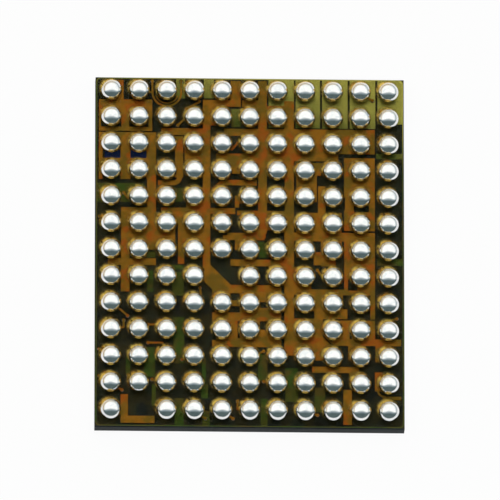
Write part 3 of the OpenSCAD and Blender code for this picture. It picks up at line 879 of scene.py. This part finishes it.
@dataclass
class SolderBalls:
    """The reflowed balls, as smooth flattened spheres that are each a little uneven."""

    grid: BallGrid
    segments: int = 48
    steps: int = 26
    unevenness: float = 0.5 * MICRON
    wave: float = 0.09 * MILLIMETRE
    crease: float = math.radians(40)

    def profile(self) -> list[tuple[float, float]]:
        """Works out the outline of one ball above its neck.

        Returns:
            Radius and height from the crown to the middle of the neck.
        """
        radius, tall = self.grid.ball_radius, self.grid.half_height
        middle = self.grid.neck_depth * tall
        neck = math.pi - math.asin(self.grid.neck_radius / radius)
        turns = [neck * step / self.steps for step in range(self.steps + 1)]
        outline = [(radius * math.sin(turn), middle + tall * math.cos(turn)) for turn in turns]
        outline[0] = (0.0, middle + tall)
        outline[-1] = (self.grid.neck_radius, 0.0)
        return [*outline, (0.0, 0.0)]

    def _uneven(self, points: np.ndarray, place: Vector) -> np.ndarray:
        """Presses a ball's surface in by a fraction of a micron here and there.

        Args:
            points: The ball's points round the origin.
            place: Where the ball stands.

        Returns:
            The points in their place.
        """
        moved = np.empty_like(points)
        top = points[:, 2].max()
        for i, point in enumerate(points):
            there = Vector(point) + place
            hollow = 0.5 + 0.5 * noise.noise(there / self.wave)
            share = max(point[2] / top, 0.0)
            moved[i] = there - Vector(point).normalized() * (self.unevenness * hollow * share)
        return moved

    def build_row(self, letter: str) -> None:
        """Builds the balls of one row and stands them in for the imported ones.

        Args:
            letter: The row.
        """
        points, faces = revolve(self.profile(), self.segments)
        blocks = [self._uneven(points, place) for place in self.grid.rows[letter]]
        piece = mesh_piece(f"solder_balls_{letter}", *repeat(blocks, faces), self.crease)
        stand_in(piece, f"solder_row_{letter}", SOLDER)

    def build(self) -> None:
        """Builds every row."""
        for letter in ROW_LETTERS:
            self.build_row(letter)


@dataclass
class BallMetal:
    """The plug in each opening with its flange on the film."""

    grid: BallGrid
    film_z: float
    plug_radius: float = 0.085 * MILLIMETRE
    segments: int = 48
    crease: float = math.radians(30)

    def profile(self) -> list[tuple[float, float]]:
        """Works out the outline of one plug with its flange.

        Returns:
            Radius and height from the top to the seat.
        """
        top, film, seat = self.grid.neck_z, self.film_z, self.grid.seat_z
        return [
            (0.0, top), (self.grid.neck_radius, top), (self.grid.neck_radius, film),
            (self.plug_radius, film), (self.plug_radius, seat), (0.0, seat),
        ]

    def build(self) -> None:
        """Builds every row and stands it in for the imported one."""
        points, faces = revolve(self.profile(), self.segments)
        for letter in ROW_LETTERS:
            blocks = [points + np.array([at.x, at.y, 0.0]) for at in self.grid.rows[letter]]
            piece = mesh_piece(f"ball_metal_{letter}", *repeat(blocks, faces), self.crease)
            stand_in(piece, f"ball_metal_row_{letter}", BALL_METAL)


@dataclass
class PolyimideFilm:
    """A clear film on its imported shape, clear of the faces it lies on and with sloped ridges."""

    node: str
    slot: Slot
    finish: Finish
    lift: float = 0.5 * MICRON
    slope: float = 0.0
    level: float = 0.05 * MICRON
    weld: float = 0.01 * MICRON
    ceiling: float = -0.5
    upright: float = 0.2
    least_turn: float = 0.3
    crease: float = math.radians(25)

    def build(self) -> None:
        """Copies the node's shape, eases it and stands it in for the node."""
        source = bpy.data.objects[self.node]
        form = bmesh.new()
        form.from_mesh(source.data)
        bmesh.ops.remove_doubles(form, verts=form.verts, dist=self.weld)
        heights = [vertex.co.z for vertex in form.verts]
        low, high = min(heights), max(heights)
        if self.slope:
            self._slope_ridges(form, high)
        for vertex in form.verts:
            if vertex.co.z < low + self.level:
                vertex.co.z += self.lift
        self._lift_ceilings(form, low, high)
        name = self.node + "_film"
        mesh = bpy.data.meshes.new(name)
        form.to_mesh(mesh)
        form.free()
        stand_in(link_smooth(name, mesh, self.crease), self.node, self.finish)

    def _lift_ceilings(self, form: bmesh.types.BMesh, low: float, high: float) -> None:
        """Lifts the faces that rest on the copper a little off it.

        Args:
            form: The film's mesh.
            low: Height of its foot.
            high: Height of its top.
        """
        chosen = set()
        for face in form.faces:
            z = face.calc_center_median().z
            if face.normal.z < self.ceiling and low + 2 * self.lift < z < high - self.lift:
                chosen.update(face.verts)
        for vertex in chosen:
            vertex.co.z += self.lift

    def _slope_ridges(self, form: bmesh.types.BMesh, high: float) -> None:
        """Draws the top edge of each ridge in, so that its flank slopes.

        Args:
            form: The film's mesh.
            high: Height of its top.
        """
        form.normal_update()
        shifts = {}
        for vertex in form.verts:
            if vertex.co.z < high - self.level:
                continue
            walls = [face.normal for face in vertex.link_faces if abs(face.normal.z) < self.upright]
            if not walls:
                continue
            first = walls[0]
            other = min(walls, key=first.dot)
            shifts[vertex] = (first + other) / max(1 + first.dot(other), self.least_turn)
        for vertex, shift in shifts.items():
            vertex.co -= self.slope * shift


@dataclass
class Films:
    """Both polyimide films."""

    grid: BallGrid
    ridge_slope: float = 4 * MICRON

    def upper_finish(self) -> StainedGlowFilmFinish:
        """Puts together the finish of the film that the balls stand on.

        Returns:
            The finish.
        """
        return StainedGlowFilmFinish(
            "upper_polyimide_amber",
            Tint((0.016, 0.013, 0.003), (0.012, 0.013, 0.004), (0.020, 0.011, 0.003), 180 * MICRON),
            roughness=(0.10, 0.22), grain=40 * MICRON, bump=0.4 * MICRON, specular=0.06,
            opacity=(0.12, 0.30), drift=90 * MICRON, grid=self.grid,
        )

    def build(self) -> None:
        """Builds the lower film and the upper one."""
        PolyimideFilm("lower_polyimide", Slot.LOWER_POLYIMIDE, LOWER_FILM).build()
        finish = self.upper_finish()
        PolyimideFilm(
            "upper_polyimide", Slot.UPPER_POLYIMIDE, finish, slope=self.ridge_slope
        ).build()


@dataclass
class DieStack:
    """The die from its back to its top metal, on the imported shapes."""

    def dress(self) -> None:
        """Gives each layer its finish."""
        layers = {
            "backside_film": BACKSIDE, "silicon_die": SILICON, "circuit_layers": CIRCUIT,
            "seal_ring": TOP_METAL, "top_metal_straps": TOP_METAL, "aluminium_pads": PADS,
        }
        for node, finish in layers.items():
            dress_node(node, finish)


@dataclass
class RoutedCopper:
    """The routed copper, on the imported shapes."""

    prefix: str = "copper_"

    def dress(self, nodes: list[str]) -> None:
        """Gives every piece of copper its finish.

        Args:
            nodes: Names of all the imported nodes.
        """
        for node in sorted(nodes):
            if node.startswith(self.prefix):
                dress_node(node, COPPER)


@dataclass
class Studio:
    """A pale floor, a soft light from the far side and the camera above."""

    azimuth: float = math.radians(-6.4)
    elevation: float = math.radians(73.1)
    distance: float = 0.230
    lens: float = 1149.0
    sensor: float = 36.0
    clip: tuple[float, float] = (0.01, 10.0)
    floor_size: float = 0.4
    floor_colour: Colour = (0.86, 0.87, 0.87)
    floor_share: float = 0.95
    edge_low: float = math.radians(-32)
    edge_middle: float = math.radians(-16)
    edge_high: float = math.radians(4)
    panel: Colour = (1.22, 1.24, 1.21)
    between: Colour = (0.31, 0.38, 0.41)
    dim: Colour = (0.100, 0.140, 0.142)
    warm: Colour = (0.46, 0.31, 0.11)
    cool: Colour = (0.30, 0.38, 0.42)
    warm_span: tuple[float, float] = (0.0, 1.1)
    rim_bottom: float = 0.02
    rim_top: float = 0.59
    spread: float = math.radians(18)
    under: Colour = (0.60, 0.60, 0.60)

    def build_camera(self, target: Vector) -> None:
        """Places the camera.

        Args:
            target: Point in the middle of the picture.
        """
        data = bpy.data.cameras.new("camera")
        data.lens, data.sensor_width = self.lens, self.sensor
        data.clip_start, data.clip_end = self.clip
        camera = bpy.data.objects.new("camera", data)
        bpy.context.scene.collection.objects.link(camera)
        flat = math.cos(self.elevation)
        back = Vector((
            math.sin(self.azimuth) * flat, -math.cos(self.azimuth) * flat, math.sin(self.elevation)
        ))
        right = Vector((0.0, 1.0, 0.0)).cross(back).normalized()
        turn = Matrix((right, back.cross(right), back)).transposed()
        camera.location = target + back * self.distance
        camera.rotation_euler = turn.to_euler()
        bpy.context.scene.camera = camera

    def build_floor(self) -> None:
        """Makes the floor, which is white in the picture and in reflections but keeps its shadow."""
        half = self.floor_size / 2
        corners = np.array([(-half, -half, 0), (half, -half, 0), (half, half, 0), (-half, half, 0)])
        floor = mesh_piece("floor", corners, [(0, 1, 2, 3)], math.pi)
        paint = bpy.data.materials.new("pale_floor")
        paint.use_nodes = True
        sheet = NodeSheet(paint.node_tree)
        paint.node_tree.nodes.remove(paint.node_tree.nodes["Principled BSDF"])
        matt = sheet.add("ShaderNodeBsdfDiffuse", {"Color": rgba(self.floor_colour)})
        white = sheet.add("ShaderNodeEmission", {"Color": rgba((1.0, 1.0, 1.0)), "Strength": 1.0})
        share = sheet.math("MULTIPLY", self._picture_rays(sheet), self.floor_share)
        top = sheet.add("ShaderNodeMixShader", {0: share, 1: matt.outputs[0], 2: white.outputs[0]})
        clear = sheet.add("ShaderNodeBsdfTransparent")
        under = sheet.add("ShaderNodeNewGeometry").outputs["Backfacing"]
        both = sheet.add("ShaderNodeMixShader", {0: under, 1: top.outputs[0], 2: clear.outputs[0]})
        target = paint.node_tree.nodes["Material Output"].inputs["Surface"]
        paint.node_tree.links.new(both.outputs[0], target)
        floor.data.materials.append(paint)

    @staticmethod
    def _picture_rays(sheet: NodeSheet) -> bpy.types.NodeSocket:
        """Tells the rays that show the floor in the picture or in a reflection.

        Args:
            sheet: Where the nodes go.

        Returns:
            1 for camera, glossy and transmission rays, and 0 for the rest.
        """
        path = sheet.add("ShaderNodeLightPath").outputs
        seen = sheet.math("MAXIMUM", path["Is Camera Ray"], path["Is Glossy Ray"])
        return sheet.math("MAXIMUM", seen, path["Is Transmission Ray"])

    def build_light(self) -> None:
        """Makes the sky: bright beyond the part over a tinted rim, and dim on the near side."""
        world = bpy.data.worlds.new("studio")
        world.use_nodes = True
        bpy.context.scene.world = world
        sheet = NodeSheet(world.node_tree)
        axes = sheet.axes("Generated")
        upright = sheet.math("ARCTAN2", axes["Y"], axes["Z"])
        aside = sheet.math("POWER", axes["X"], 2.0)
        lean = sheet.math("MULTIPLY_ADD", aside, self.spread, upright)
        left = sheet.remap(sheet.math("SUBTRACT", axes["Y"], axes["X"]), *self.warm_span)
        rim = sheet.mix(left, rgba(self.cool), rgba(self.warm))
        high = sheet.remap(axes["Z"], self.rim_bottom, self.rim_top)
        beyond = sheet.mix(high, rim, rgba(self.panel))
        near = sheet.mix(
            sheet.remap(lean, self.edge_low, self.edge_middle), rgba(self.dim), rgba(self.between)
        )
        sky = sheet.mix(sheet.remap(lean, self.edge_middle, self.edge_high), near, beyond)
        whole = sheet.mix(sheet.math("LESS_THAN", axes["Z"], 0.0), sky, rgba(self.under))
        background = world.node_tree.nodes["Background"]
        world.node_tree.links.new(whole, background.inputs["Color"])
        background.inputs["Strength"].default_value = 1.0

    def build(self, target: Vector) -> None:
        """Builds the camera, floor and light.

        Args:
            target: Point in the middle of the picture.
        """
        self.build_camera(target)
        self.build_floor()
        self.build_light()
        bpy.context.scene.view_settings.view_transform = "Standard"


def main() -> None:
    """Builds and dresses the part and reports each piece."""
    logging.basicConfig(level=logging.INFO, format="%(name)s: %(message)s")
    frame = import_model()
    grid = BallGrid.from_frame()
    film_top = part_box("upper_polyimide")[1].z
    DieStack().dress()
    RoutedCopper().dress(list(frame["nodes"]))
    Films(grid).build()
    BallMetal(grid, film_top).build()
    SolderBalls(grid).build()
    Studio().build(Vector((0.0, 0.0, grid.ball_middle)))
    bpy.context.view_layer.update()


if __name__ == "__main__":
    main()
